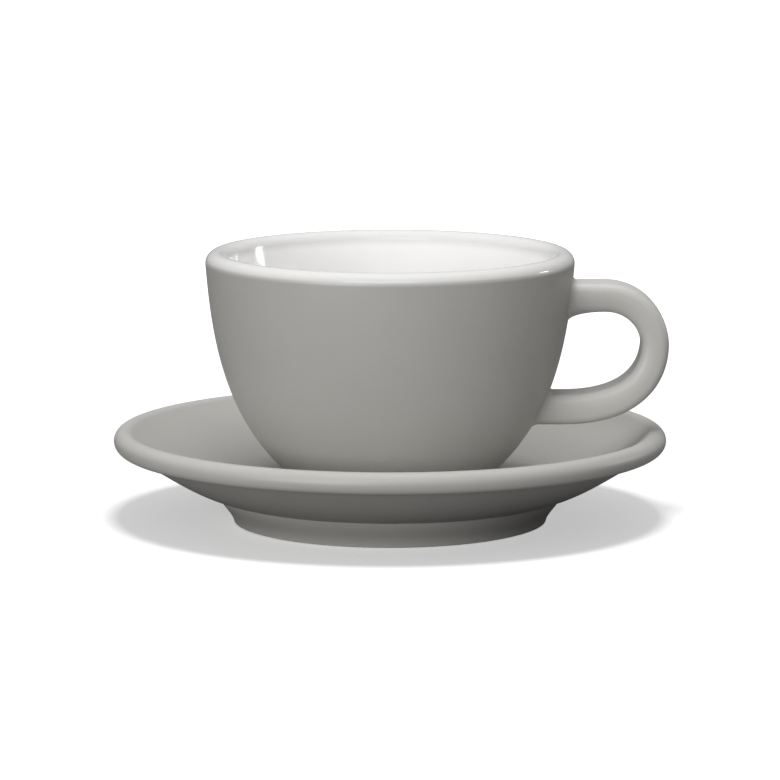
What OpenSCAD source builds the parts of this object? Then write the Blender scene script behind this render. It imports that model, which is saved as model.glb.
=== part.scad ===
// Cappuccino cup and saucer in glazed porcelain, in millimetres.
// Origin: centre of the saucer's foot on the table, on the axis that cup and saucer share.
// +Z is up and +X points from the axis to the cup's handle.
// The cup stands in the saucer's well and lifts straight off it.

/* [Cup] */
// Widest diameter of the cup, just below its lip
cup_d = 96.6; // [80:0.2:110]
// Height of the cup from its foot to the top of its lip
cup_h = 61.1; // [52:0.1:75]
// Thickness of the rounded lip
lip_thick = 6.2; // [4.4:0.1:7]
// Lean of the outside wall where it leaves the lip, in degrees from upright
wall_lip_lean = 4.5; // [2:0.5:8]
// Lean of the outside wall where it meets the foot, in degrees from upright
wall_foot_lean = 49; // [42:1:56]
// Diameter of the cup's foot ring
cup_foot_d = 52.8; // [44:0.2:60]
// Height of the foot ring up to the wall
cup_foot_h = 2.6; // [2.2:0.1:4]
// Width of the foot ring, from its outside to the recess
cup_foot_w = 4.6; // [3.8:0.1:7]
// Depth of the recess under the cup
cup_recess = 2.2; // [1.6:0.1:3]
// Porcelain and glaze between the recess and the inside of the cup
cup_base_thick = 4.9; // [3.5:0.1:7]

/* [Handle] */
// Reach of the handle's centre line from the cup's axis
handle_reach = 69.3; // [63:0.1:76]
// Drop from the top of the lip to the centre line of the upper arm
handle_drop = 11.8; // [10:0.1:15]
// Height between the centre lines of the two arms
handle_gap = 29.5; // [25:0.1:32]
// Drop from the upper arm's centre line to the height of the widest point
handle_widest_drop = 12.5; // [10:0.1:15]
// Distance from the axis at which the upper arm starts to bend
upper_bend_x = 56.1; // [53:0.1:59]
// Distance from the axis at which the lower arm starts to bend
lower_bend_x = 45.4; // [43:0.1:49]
// Thickness of the handle at the upper arm
upper_arm_thick = 7.7; // [6:0.1:9]
// Thickness of the handle at its widest point
handle_thick = 7.4; // [6:0.1:9]
// Thickness of the handle at the lower arm
lower_arm_thick = 8.1; // [6:0.1:9]
// Depth of the handle across the loop
handle_depth = 14.6; // [11:0.1:17]
// Radius of the handle's long edges
handle_edge_r = 2.4; // [1.2:0.1:2.8]
// Fillet between the wall and the top of the upper arm
upper_root_r = 1.4; // [0.8:0.1:2.5]
// Height that the loop's inside gains where the upper arm spreads onto the wall
upper_web_h = 2.5; // [1:0.1:4]
// Length over which it spreads
upper_web_reach = 9; // [5:0.2:9.4]
// Fillet between the wall and the top of the lower arm
lower_web_r = 1.6; // [1:0.1:4]
// Fillet between the wall and the underside of the lower arm
lower_root_r = 1.2; // [0.8:0.1:2.5]
// Fillet between the wall and the handle's flat sides
side_root_r = 1.8; // [0.8:0.1:3]

/* [Saucer] */
// Diameter of the saucer
saucer_d = 145; // [130:0.5:160]
// Height of the saucer
saucer_h = 24.6; // [21:0.1:28]
// Thickness of the rounded bead along the saucer's rim
bead_thick = 5.7; // [4.6:0.1:7]
// Radius of the crease below the bead
bead_crease_r = 0.6; // [0.5:0.1:1]
// Slope of the flange's underside at the bead, in degrees from level
flange_rim_slope = 28; // [24:1:34]
// Slope of the dish's upper side at the bead, in degrees from level
dish_rim_slope = 46; // [35:1:55]
// Slope of the flange's underside where it meets the foot, in degrees from level
flange_foot_slope = 13; // [9:1:18]
// Diameter of the saucer's underside where the flange meets the crease above the foot
crease_d = 91; // [87:0.2:95]
// Height of that crease above the table
crease_h = 7.3; // [6.2:0.1:8]
// Radius of the hollow fillet in that crease
crease_r = 0.5; // [0.3:0.1:1.2]
// Lean of the foot's flank at its top, in degrees from upright
flank_top_lean = 23; // [14:1:32]
// Lean of the foot's flank at its bottom, in degrees from upright
flank_low_lean = 13; // [5:1:22]
// Outer diameter of the ring that touches the table
saucer_foot_d = 80.2; // [75:0.2:83]
// Width from the outside of that ring to the recess under the saucer
saucer_foot_w = 4; // [3.2:0.1:6]
// Depth of the recess under the saucer
saucer_recess = 5.4; // [3.5:0.1:6]
// Diameter of the level floor, where the dish starts to rise
floor_d = 88; // [80:0.5:96]
// Height of the level floor above the table
floor_h = 11.6; // [10.5:0.1:13]
// Depth of the well that holds the cup's foot
well_depth = 1.2; // [0.6:0.1:2]
// Clearance around the cup's foot in the well
well_clear = 1.8; // [1:0.1:3]
// Width of the rounded step around the well
well_step = 3; // [2:0.1:4]

/* [Glaze] */
// Thickness of the glaze coats
glaze_t = 0.4; // [0.3:0.05:0.5]
// Depth of the white band below the top of the lip, on the outside
white_band = 2.2; // [1.4:0.1:2.8]
// Radius of the bare edges of the foot rings, where the glaze stops
foot_edge_r = 0.6; // [0.4:0.05:0.9]
// Hollow fillet between foot ring and wall, and in the recesses
cove_r = 1.4; // [0.8:0.1:1.6]

/* [Hidden] */
$fn = 96;
grey_glaze = [0.635, 0.64, 0.615];
white_glaze = [0.95, 0.95, 0.945];
porcelain = [0.9, 0.885, 0.85];

// Steps along arcs and curves
lip_steps = 10;
wall_steps = 16;
bowl_steps = 18;
bead_steps = 8;
dish_steps = 10;
fillet_steps = 4;
edge_steps = 3;
bend_steps = 9;
root_steps = 5;

// Lengths of the curves' end tangents, as shares of the span that each curve covers
wall_lip_share = 0.31;
wall_foot_share = 0.38;
bowl_wall_share = 0.5;
bowl_floor_share = 0.72;
flange_rim_share = 0.33;
flange_foot_share = 0.33;
flank_share = 0.35;
dish_rim_share = 0.34;
dish_floor_share = 0.34;
step_share = 0.5;
// Most of a recess's bare height that its fillet may take
recess_fillet_share = 0.9;
upper_out_share = 0.68;
upper_down_share = 0.39;
lower_down_share = 0.28;
lower_in_share = 0.9;

// Lean of the bowl's inside wall at the lip, and where bead, dish and flange meet
bowl_lean = 12;
bead_wrap = 108;
dish_angle = 90 + dish_rim_slope;

// Seats and heights that follow from the sizes above
well_h = floor_h - well_depth;
lip_r = lip_thick / 2;
lip_c = [cup_d / 2 - lip_r, cup_h - lip_r];
cup_foot_r = cup_foot_d / 2;
bowl_floor_h = cup_recess + cup_base_thick;
white_angle = asin((lip_r - white_band) / lip_r);
bead_r = bead_thick / 2;
bead_c = [saucer_d / 2 - bead_r, saucer_h - bead_r];
well_r = cup_foot_r + well_clear;
upper_arm_h = cup_h - handle_drop;
lower_arm_h = upper_arm_h - handle_gap;
widest_h = upper_arm_h - handle_widest_drop;
// The handle's form runs this far into the wall before the wall cuts it
root_bury = lip_r / 2;
// Its fillets start this far off the wall, so that it meets the wall squarely
root_step = glaze_t;
// Fillets between the handle and the wall, each [height, length]
upper_root = [upper_root_r, upper_root_r];
upper_web = [upper_web_h, upper_web_reach];
lower_web = [lower_web_r, lower_web_r];
lower_root = [lower_root_r, lower_root_r];
side_root = [side_root_r, side_root_r];

// Plane geometry. Points are [radius, height], and angles are in degrees.
function polar(r, a) = r * [cos(a), sin(a)];
function arc(c, r, a0, a1, n) = [for (i = [0:n]) c + polar(r, a0 + (a1 - a0) * i / n)];
function bez(p, t) =
    pow(1 - t, 3) * p[0] + 3 * pow(1 - t, 2) * t * p[1] + 3 * (1 - t) * t * t * p[2] + pow(t, 3) * p[3];
function bez_dir(p, t) =
    let (v = pow(1 - t, 2) * (p[1] - p[0]) + 2 * (1 - t) * t * (p[2] - p[1]) + t * t * (p[3] - p[2]))
    v / norm(v);
function right_of(v) = [v.y, -v.x];
function left_of(v) = [-v.y, v.x];
// A curve moved sideways by d, to the right of its own heading
function curve(p, d, n) = [for (i = [0:n]) bez(p, i / n) + d * right_of(bez_dir(p, i / n))];
// A curve between two points that leaves and arrives under given headings
function between(a, heading_a, b, heading_b, share_a, share_b) =
    let (span = norm(b - a))
    [a, a + polar(span * share_a, heading_a), b - polar(span * share_b, heading_b), b];
function reversed(list) = [for (i = [len(list) - 1:-1:0]) list[i]];

// Cup profiles, measured from the cup's own foot. d is the depth below the glazed surface.
wall_top = lip_c + polar(lip_r, -wall_lip_lean);
wall_low = [cup_foot_r + cove_r * (1 - cos(wall_foot_lean)), cup_foot_h];
wall_curve = between(wall_top, -90 - wall_lip_lean, wall_low, -90 - wall_foot_lean,
                     wall_lip_share, wall_foot_share);
cove_c = wall_low + polar(cove_r, -wall_foot_lean);
bowl_top = lip_c + polar(lip_r, 180 - bowl_lean);
bowl_curve = [
    bowl_top,
    bowl_top + polar((bowl_top.y - bowl_floor_h) * bowl_wall_share, -90 - bowl_lean),
    [bowl_top.x * bowl_floor_share, bowl_floor_h],
    [0, bowl_floor_h]
];
function lip_arc(d, a0, a1) = arc(lip_c, lip_r - d, a0, a1, lip_steps);
function cup_wall(d) = curve(wall_curve, d, wall_steps);
function cup_cove(d) =
    arc(cove_c, cove_r + d, 180 - wall_foot_lean, 180, fillet_steps);
function cup_bowl(d) = curve(bowl_curve, -d, bowl_steps);

// Foot ring: the bare edges, and the recess inside them
function outer_edge(c, lean) = arc(c, foot_edge_r, -lean, -90, edge_steps);
function inner_edge(r) = arc([r + foot_edge_r, foot_edge_r], foot_edge_r, 270, 180, edge_steps);
function recess(r, h, d) =
    let (fillet = min(cove_r, (h - foot_edge_r) * recess_fillet_share))
    concat([[r + d, foot_edge_r]],
           arc([r - fillet, h - fillet], fillet + d, 0, 90, fillet_steps),
           [[0, h + d]]);

// Saucer profiles, measured from the table
crease_heading = 180 + flange_foot_slope;
flank_heading = -90 - flank_top_lean;
crease_top = [crease_d / 2, crease_h];
crease_c = crease_top + crease_r * left_of(polar(1, crease_heading));
flank_top = crease_c + polar(crease_r, flank_heading + 270);
saucer_edge_c = [saucer_foot_d / 2, foot_edge_r];
flank_low = saucer_edge_c + polar(foot_edge_r + glaze_t, -flank_low_lean);
flank_curve = between(flank_top, flank_heading, flank_low, -90 - flank_low_lean, flank_share, flank_share);
bead_crease_c = bead_c + polar(bead_r + bead_crease_r, -bead_wrap);
flange_top = bead_crease_c + polar(bead_crease_r, 90 + flange_rim_slope);
flange_curve = between(flange_top, 180 + flange_rim_slope, crease_top, crease_heading,
                       flange_rim_share, flange_foot_share);
dish_curve = between(bead_c + polar(bead_r, dish_angle), 90 + dish_angle, [floor_d / 2, floor_h], 180,
                     dish_rim_share, dish_floor_share);
step_curve = between([well_r + well_step, floor_h], 180, [well_r, well_h], 180, step_share, step_share);
function saucer_top(d) = concat(
    curve(dish_curve, -d, dish_steps),
    curve(step_curve, -d, fillet_steps * 2),
    [[0, well_h - d]]);
function saucer_under(d) = concat(
    arc(bead_c, bead_r - d, dish_angle, -bead_wrap, bead_steps * 2),
    arc(bead_crease_c, bead_crease_r + d, 180 - bead_wrap, 90 + flange_rim_slope, fillet_steps),
    curve(flange_curve, d, dish_steps),
    arc(crease_c, crease_r + d, crease_heading - 90, flank_heading + 270, fillet_steps),
    curve(flank_curve, d, dish_steps));
saucer_recess_r = saucer_foot_d / 2 - saucer_foot_w;
cup_recess_r = cup_foot_r - cup_foot_w;
cup_edge_c = [cup_foot_r - glaze_t - foot_edge_r, foot_edge_r];

// A solid of revolution around the axis
module turned(points) {
    rotate_extrude() polygon(points);
}

// The cup's porcelain without its hollow, which cuts the handle's ends to the wall
module cup_core() {
    turned(concat([[0, cup_foot_h]], reversed(concat([lip_c - [0, lip_r]], cup_wall(glaze_t)))));
}

// Handle: rings of points along the loop, each [x, y, z] in the cup's frame
upper_bend = [
    [upper_bend_x, upper_arm_h],
    [upper_bend_x + (handle_reach - upper_bend_x) * upper_out_share, upper_arm_h],
    [handle_reach, widest_h + (upper_arm_h - widest_h) * upper_down_share],
    [handle_reach, widest_h]
];
lower_bend = [
    [handle_reach, widest_h],
    [handle_reach, widest_h - (widest_h - lower_arm_h) * lower_down_share],
    [lower_bend_x + (handle_reach - lower_bend_x) * lower_in_share, lower_arm_h],
    [lower_bend_x, lower_arm_h]
];
wall_radii = [for (p = reversed(cup_wall(0))) [p.y, p.x]];
function wall_x(y, z) = let (r = lookup(z, wall_radii)) sqrt(r * r - y * y);
// How far a fillet stands off at distance s from the wall. spread is its height there and its length.
function flare(spread, s) =
    s >= spread[1] ? 0 : spread[0] * (1 - sqrt(1 - pow(1 - max(s, 0) / spread[1], 2)));
// A rounded rectangle of points [outwards, across], out and inn being its reach to each side
function section(out, inn, half, r) = [
    for (q = [[out - r, half - r, 0], [r - inn, half - r, 90],
              [r - inn, r - half, 180], [out - r, r - half, 270]])
        for (i = [0:edge_steps]) [q[0], q[1]] + polar(r, q[2] + 90 * i / edge_steps)
];
// One ring: c its centre, v its heading, root and web its fillets outside and inside the loop,
// s its distance from the wall, k its pull towards the wall's lean
function ring(c, v, thick, root, web, s, k, d) = [
    for (p = section(thick / 2 - d + flare(root, s), thick / 2 - d + flare(web, s),
                     handle_depth / 2 - d + flare(side_root, s),
                     handle_edge_r - d + flare(side_root, s)))
        let (q = c + p[0] * left_of(v))
        [q.x + k * (wall_x(p[1], q.y) - wall_x(0, c.y)), p[1], q.y]
];
// The straight arm between the wall and the bend, from its end in the wall outwards
function arm(bend_x, h, v, thick, root, web, d) =
    let (start = wall_x(0, h) + root_step, length = bend_x - start)
    concat([ring([start - root_step - root_bury, h], v, thick, root, web, 0, 1, d)],
           [for (i = [0:root_steps - 1]) let (f = pow(i / root_steps, 2))
               ring([start + length * f, h], v, thick, root, web, length * f, 1 - f, d)]);
function bend(p, thick_a, thick_b, first, d) = [
    for (i = [first:bend_steps])
        let (t = i / bend_steps, thick = thick_a + (thick_b - thick_a) * t)
        ring(bez(p, t), bez_dir(p, t), thick, side_root, side_root, handle_reach, 0, d)
];
function handle_rings(d) = concat(
    arm(upper_bend_x, upper_arm_h, [1, 0], upper_arm_thick, upper_root, upper_web, d),
    bend(upper_bend, upper_arm_thick, handle_thick, 0, d),
    bend(lower_bend, handle_thick, lower_arm_thick, 1, d),
    reversed(arm(lower_bend_x, lower_arm_h, [-1, 0], lower_arm_thick, lower_root, lower_web, d)));

// Triangles between ring a and the next one, for n points a ring
function band(a, b, n) = [
    for (i = [0:n - 1]) let (j = (i + 1) % n)
        each [[a + i, a + j, b + j], [a + i, b + j, b + i]]
];
function flat(rings) = [for (r = rings) each r];
function flipped(faces) = [for (f = faces) reversed(f)];

module handle_form(d) {
    rings = handle_rings(d);
    n = len(rings[0]);
    last = (len(rings) - 1) * n;
    sides = [for (k = [0:len(rings) - 2]) each band(k * n, (k + 1) * n, n)];
    ends = [[for (i = [n - 1:-1:0]) i], [for (i = [0:n - 1]) last + i]];
    polyhedron(flat(rings), concat(sides, ends));
}

// The coat alone: the glazed surface outside, the porcelain's surface inside
module handle_coat() {
    outer = handle_rings(0);
    inner = handle_rings(glaze_t);
    n = len(outer[0]);
    all = len(outer) * n;
    last = all - n;
    sides = [for (k = [0:len(outer) - 2]) each band(k * n, (k + 1) * n, n)];
    inside = [for (f = flipped(sides)) [for (i = f) i + all]];
    polyhedron(flat(concat(outer, inner)),
               concat(sides, inside, band(all, 0, n), band(last, all + last, n)));
}

module on_saucer() {
    translate([0, 0, well_h]) children();
}

module saucer_body() {
    color(porcelain)
        turned(concat(
            reversed(recess(saucer_recess_r, saucer_recess, glaze_t)),
            reversed(inner_edge(saucer_recess_r + glaze_t)),
            reversed(outer_edge(saucer_edge_c, flank_low_lean)),
            reversed(saucer_under(glaze_t)),
            saucer_top(glaze_t)));
}

module saucer_glaze() {
    color(grey_glaze) {
        turned(concat(
            reversed(saucer_top(0)),
            saucer_under(0),
            reversed(saucer_under(glaze_t)),
            saucer_top(glaze_t)));
        turned(concat(
            recess(saucer_recess_r, saucer_recess, 0),
            reversed(recess(saucer_recess_r, saucer_recess, glaze_t))));
    }
}

module cup_body() {
    color(porcelain)
        on_saucer()
            turned(concat(
                reversed(recess(cup_recess_r, cup_recess, glaze_t)),
                reversed(inner_edge(cup_recess_r + glaze_t)),
                reversed(outer_edge(cup_edge_c, 0)),
                reversed(cup_cove(glaze_t)),
                reversed(cup_wall(glaze_t)),
                lip_arc(glaze_t, -wall_lip_lean, white_angle),
                lip_arc(glaze_t, white_angle, 180 - bowl_lean),
                cup_bowl(glaze_t)));
}

module cup_inner_glaze() {
    color(white_glaze)
        on_saucer()
            turned(concat(
                lip_arc(0, white_angle, 180 - bowl_lean),
                cup_bowl(0),
                reversed(cup_bowl(glaze_t)),
                reversed(lip_arc(glaze_t, white_angle, 180 - bowl_lean))));
}

module cup_outer_glaze() {
    color(grey_glaze)
        on_saucer() {
            difference() {
                turned(concat(
                    lip_arc(0, white_angle, -wall_lip_lean),
                    cup_wall(0),
                    cup_cove(0),
                    [[cup_foot_r, foot_edge_r], [cup_foot_r - glaze_t, foot_edge_r]],
                    reversed(cup_cove(glaze_t)),
                    reversed(cup_wall(glaze_t)),
                    reversed(lip_arc(glaze_t, white_angle, -wall_lip_lean))));
                handle_form(0);
            }
            turned(concat(
                recess(cup_recess_r, cup_recess, 0),
                reversed(recess(cup_recess_r, cup_recess, glaze_t))));
        }
}

module cup_handle() {
    color(porcelain)
        on_saucer()
            difference() {
                handle_form(glaze_t);
                cup_core();
            }
}

module handle_glaze() {
    color(grey_glaze)
        on_saucer()
            difference() {
                handle_coat();
                cup_core();
            }
}

saucer_body();
saucer_glaze();
cup_body();
cup_inner_glaze();
cup_outer_glaze();
cup_handle();
handle_glaze();
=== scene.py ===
"""Builds a glazed cappuccino cup on its saucer, with a pale studio floor, lamps and a camera."""

import bpy
import numpy as np
from bpy.props import FloatProperty, FloatVectorProperty, IntProperty, PointerProperty
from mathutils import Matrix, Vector


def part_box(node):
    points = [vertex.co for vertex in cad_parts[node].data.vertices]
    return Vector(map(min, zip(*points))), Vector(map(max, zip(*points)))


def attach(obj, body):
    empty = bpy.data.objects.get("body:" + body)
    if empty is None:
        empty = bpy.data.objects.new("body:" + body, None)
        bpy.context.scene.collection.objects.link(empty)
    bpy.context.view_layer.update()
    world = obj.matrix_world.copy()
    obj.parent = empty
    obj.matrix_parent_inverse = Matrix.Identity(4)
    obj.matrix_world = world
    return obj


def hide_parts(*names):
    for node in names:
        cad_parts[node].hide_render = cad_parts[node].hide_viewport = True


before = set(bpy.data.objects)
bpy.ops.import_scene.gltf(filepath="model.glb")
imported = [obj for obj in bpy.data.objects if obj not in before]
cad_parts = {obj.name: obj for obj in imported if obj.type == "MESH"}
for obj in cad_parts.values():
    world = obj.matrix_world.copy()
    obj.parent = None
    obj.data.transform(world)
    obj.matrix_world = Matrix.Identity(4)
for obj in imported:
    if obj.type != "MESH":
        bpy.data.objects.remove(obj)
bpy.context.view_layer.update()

bl_info = {
    "name": "Cappuccino cup and saucer",
    "version": (1, 0, 0),
    "blender": (4, 5, 0),
    "location": "3D View > Sidebar > Cup",
    "description": "Builds a glazed cup on its saucer, with a studio floor, lamps and a camera",
    "category": "Object",
}

MM = 0.001
TINY = 1e-7  # Metres below which two points are one

# Shares of a curve's reach over which it keeps its first and its last heading
WALL_SHARES = (0.31, 0.38)
BOWL_SHARES = (0.5, 0.72)
DISH_SHARES = (0.34, 0.34)
WELL_STEP_SHARES = (0.5, 0.5)
FLANGE_SHARES = (0.33, 0.33)
FLANK_SHARES = (0.35, 0.35)
UPPER_BEND_SHARES = (0.68, 0.39)
LOWER_BEND_SHARES = (0.28, 0.9)

BEAD_WRAP = 108  # Degrees below level at which the saucer's bead ends in its crease
RECESS_FILLET = 0.9  # Most of a recess's height that its fillet may take

ROOT_SEARCH = 0.3  # Start of a root's search for the wall, as a share of the arm's end's radius
ROOT_LONGEST = 0.97  # Most of the arm that a root may take
ROOT_ARM_RINGS = (0.2, 0.45, 0.75)  # Places of the rings between the arm's end and its root
ROOT_RINGS = 13
NUDGE = 1e-3  # Step along a root's curve that gives its heading
SEARCH_END = 1e-13  # Metres within which a root's meeting with the wall is found
# How far the last rings run on up the wall, and how deep under its surface
ROOT_HEMS = ((0.3 * MM, 0.03 * MM), (0.35 * MM, 0.3 * MM))

FINE_CLOUD = 0.0016
ROUGH_PATCH = 0.009
CLOUD_WEIGHTS = (0.75, 0.25)  # Shares of the wide and of the fine clouds
LIP_SHADE = 0.78  # How much of the white's tone is left over the lip: painted shade that tones down the brightly lit crest
# Sockets of a Mix node by its kind: the two values, and the result
MIX_SOCKETS = {"FLOAT": (2, 3, 0), "RGBA": (6, 7, 2)}

WHITE = (1, 1, 1, 1)
FLOOR_HALF = 6.0  # Half of the floor's width
FLOOR_FADE = (0.14, 0.5)  # Distances from the axis between which the floor fades to white
LAMP_DISTANCE = 1.3
LAMP_AIM = Vector((0, 0, 0.04))
# Each lamp's azimuth and elevation in degrees, width and height, and whether it gives light and gloss
LAMPS = {
    "floor": (3, 71, (0.3, 0.3), True, True),
    "key": (-30, 8, (0.9, 0.25), True, True),
    "front": (-6, 32, (1.0, 0.5), True, True),
    "top": (35, 84, (0.6, 0.6), True, False),
    "back": (180, 68, (0.6, 0.6), True, False),
    "strip": (112, 11, (0.19, 0.3), False, True),
}
CAMERA_LENS = 231.3  # Millimetres, as is the sensor's width
CAMERA_SENSOR = 36.0
CAMERA_PLACE = (0, -1.3, 0.2362)
CAMERA_DIP = 8.815  # Degrees below level at which the camera looks
CAMERA_REACH = 50.0


def lowest(node):
    """The lowest corner of a fixed node's box, in metres."""
    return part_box(node)[0]


def highest(node):
    """The highest corner of a fixed node's box, in metres."""
    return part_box(node)[1]


# Settings, each kind with its own unit or subtype


def length(name, default, description):
    return FloatProperty(name=name, description=description, default=default, unit="LENGTH")


def length_pair(name, default, description):
    return FloatVectorProperty(
        name=name, description=description, default=default, size=2, unit="LENGTH"
    )


def angle(name, degrees, description):
    default = np.radians(degrees)
    return FloatProperty(name=name, description=description, default=default, unit="ROTATION")


def tint(name, default, description):
    return FloatVectorProperty(name=name, description=description, default=default, subtype="COLOR")


def roughness(name, default, description):
    return FloatProperty(name=name, description=description, default=default, subtype="FACTOR")


def power(name, default, description):
    return FloatProperty(name=name, description=description, default=default, unit="POWER")


SPREAD_TEXT = "Its length along the arm and its height on the wall"


class CupSizes(bpy.types.PropertyGroup):
    """Sizes of the cup that its lathe-turned profile follows."""

    radius: length(
        "Widest radius", highest("cup_outer_glaze").y, "Radius of the cup just below its lip"
    )
    top: length(
        "Top of the lip", highest("cup_inner_glaze").z, "Height of the lip's crest above the table"
    )
    foot: length("Foot", lowest("cup_body").z, "Height of the cup's foot above the table")
    lip_radius: length("Lip rounding", 3.1 * MM, "Radius of the full round lip")
    lip_lean: angle("Wall's lean at the lip", 4.5, "From upright, at which the wall leaves the lip")
    foot_lean: angle(
        "Wall's lean at the foot", 49.0, "From upright, at which the wall meets the foot ring"
    )
    bowl_lean: angle("Bowl's lean at the lip", 12.0, "From upright, at which the bowl leaves the lip")
    foot_radius: length("Foot ring's radius", 26.4 * MM, "Outer radius of the glazed foot ring")
    foot_height: length("Foot ring's height", 2.6 * MM, "Height of the foot ring up to the wall")
    foot_width: length(
        "Foot ring's width", 4.6 * MM, "Width of the foot ring from its outside to the recess"
    )
    recess: length("Recess", 2.2 * MM, "Depth of the recess under the cup")
    base: length("Base", 4.9 * MM, "Thickness of the cup's bottom above the recess")
    white_band: length(
        "White band", 2.2 * MM, "Depth of the white glaze below the lip's crest, on the outside"
    )


class HandleSizes(bpy.types.PropertyGroup):
    """Sizes of the loop handle and of its fillets at the wall."""

    reach: length(
        "Reach", 69.3 * MM, "Distance of the handle's centre line from the cup's axis at its widest"
    )
    drop: length("Drop", 11.8 * MM, "From the lip's crest down to the upper arm's centre line")
    gap: length("Height", 29.5 * MM, "Height between the centre lines of the two arms")
    widest_drop: length(
        "Widest point", 12.5 * MM, "From the upper arm's centre line down to the widest point"
    )
    upper_bend: length(
        "Start of the upper bend", 56.1 * MM,
        "Distance from the axis at which the upper arm starts to bend",
    )
    lower_bend: length(
        "Start of the lower bend", 45.4 * MM,
        "Distance from the axis at which the lower arm starts to bend",
    )
    upper_thick: length("Upper thickness", 7.7 * MM, "Thickness of the handle at the upper arm")
    widest_thick: length(
        "Thickness at the widest point", 7.4 * MM, "Thickness of the handle at its widest point"
    )
    lower_thick: length("Lower thickness", 8.1 * MM, "Thickness of the handle at the lower arm")
    depth: length("Depth", 14.6 * MM, "Depth of the handle across the loop")
    edge: length("Edge rounding", 2.4 * MM, "Radius of the handle's long edges")
    crown: length("Crown", 0.12 * MM, "Height by which the handle's flat sides bulge")
    side_fillet: length_pair(
        "Side fillet", (1.8 * MM, 1.8 * MM),
        "Length and height of the fillet between the wall and the flat sides",
    )
    upper_root: length_pair("Fillet above the upper arm", (1.4 * MM, 1.4 * MM), SPREAD_TEXT)
    upper_web: length_pair("Spread below the upper arm", (9.0 * MM, 2.5 * MM), SPREAD_TEXT)
    lower_root: length_pair("Fillet below the lower arm", (1.4 * MM, 1.2 * MM), SPREAD_TEXT)
    lower_web: length_pair("Fillet above the lower arm", (1.7 * MM, 1.6 * MM), SPREAD_TEXT)


class SaucerSizes(bpy.types.PropertyGroup):
    """Sizes of the saucer's lathe-turned profile."""

    radius: length("Radius", highest("saucer_glaze").y, "Radius of the saucer over its bead")
    top: length(
        "Top of the bead", highest("saucer_glaze").z, "Height of the bead's crest above the table"
    )
    bead: length("Bead's radius", 2.85 * MM, "Radius of the round bead along the rim")
    bead_crease: length("Crease below the bead", 0.6 * MM, "Radius of the hollow crease below the bead")
    rim_slope: angle(
        "Flange's slope at the bead", 28.0, "Slope of the flange's underside at the bead, from level"
    )
    dish_slope: angle(
        "Dish's slope at the bead", 46.0, "Slope of the dish's upper side at the bead, from level"
    )
    foot_slope: angle(
        "Flange's slope at the foot", 13.0, "Slope of the flange's underside at the foot, from level"
    )
    crease_at: length_pair(
        "Crease above the foot", (45.5 * MM, 7.3 * MM),
        "Radius and height at which the flange ends in the crease above the foot",
    )
    crease: length("Crease's radius", 0.5 * MM, "Radius of the hollow crease above the foot")
    flank_top_lean: angle("Flank's lean at its top", 23.0, "Lean of the foot's flank, from upright")
    flank_low_lean: angle("Flank's lean at its bottom", 13.0, "Lean of the foot's flank, from upright")
    foot_radius: length("Foot's radius", 40.1 * MM, "Outer radius of the ring that touches the table")
    foot_width: length("Foot's width", 4.0 * MM, "Width from the outside of that ring to the recess")
    recess: length("Recess", 5.4 * MM, "Depth of the recess under the saucer")
    floor_at: length_pair(
        "Level floor", (44.0 * MM, 11.6 * MM),
        "Radius and height at which the level floor turns up into the dish",
    )
    well_clear: length("Well's clearance", 1.8 * MM, "Clearance around the cup's foot in the well")
    well_step: length("Well's step", 3.0 * MM, "Width of the rounded step around the well")


class GlazeFinish(bpy.types.PropertyGroup):
    """Colours, sheen and thickness of the glazes and of the bare porcelain."""

    thickness: length("Glaze thickness", 0.4 * MM, "Thickness of the glaze coats")
    bare_edge: length("Bare edge", 0.6 * MM, "Radius of the bare edges of the foot rings")
    cove: length(
        "Hollow fillets", 1.4 * MM, "Radius of the hollow fillets at the foot rings and in the recesses"
    )
    grey: tint("Grey", (0.415, 0.408, 0.388), "Colour of the satin grey glaze")
    white: tint("White", (0.82, 0.815, 0.806), "Colour of the glossy white glaze")
    porcelain: tint("Porcelain", (0.78, 0.745, 0.68), "Colour of the bare fired porcelain")
    # Painted light: the handle's grey is made lighter by this factor, standing in for the extra light
    # that falls on the handle
    handle_painted_light: FloatProperty(
        name="Handle's tone",
        description="How much lighter the grey fires on the handle, where the coat is thinner",
        default=1.2,
    )
    satin: roughness("Satin roughness", 0.42, "Roughness of the grey glaze")
    gloss: roughness("Gloss roughness", 0.1, "Roughness of the white glaze")
    bare: roughness("Bare roughness", 0.75, "Roughness of the bare porcelain")


class StudioSettings(bpy.types.PropertyGroup):
    """Fineness of the meshes, and the strengths of the studio's lamps."""

    segments: IntProperty(
        name="Segments", description="Segments around each turned piece", default=192, min=24
    )
    key_power: power("Key lamp", 7.4, "Power of the wide, low lamp at the front left")
    front_power: power("Front lamp", 3.3, "Power of the wide lamp half high in front")
    top_power: power("Top lamp", 11.4, "Power of the lamp over the cup, a little to the front right")
    floor_power: power(
        "Floor lamp", 11.0,
        "Power of the small lamp that lights the floor alone, and draws the saucer's shadow on it",
    )
    back_power: power("Back lamp", 5.0, "Power of the lamp high behind the cup")
    strip_power: power(
        "Strip lamp", 1.7,
        "Power of the narrow lamp at the right, which shows only as a reflection in the glaze",
    )
    world_light: FloatProperty(
        name="Room light",
        description="Strength of the even light from all around",
        default=0.29,
    )
    floor_lift: FloatProperty(
        name="Floor lift",
        description="How far the floor is lifted to white for the camera alone",
        default=0.465,
    )
    floor_tone: FloatVectorProperty(
        name="Floor tone",
        description="How much of its light the floor returns to the room, and to the camera",
        default=(0.28, 0.75),
        size=2,
    )


# Profiles. A run is an array with one row a point: radius, height, and the outward normal's two parts


def polar(radius, degrees):
    return radius * np.array([np.cos(np.radians(degrees)), np.sin(np.radians(degrees))])


def arc_run(centre, radius, start, end, steps, side=1):
    """A round stretch; side is -1 where it is hollow."""
    angles = np.radians(np.linspace(start, end, steps + 1))
    rays = np.c_[np.cos(angles), np.sin(angles)]
    return np.c_[np.asarray(centre) + radius * rays, side * rays]


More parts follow.
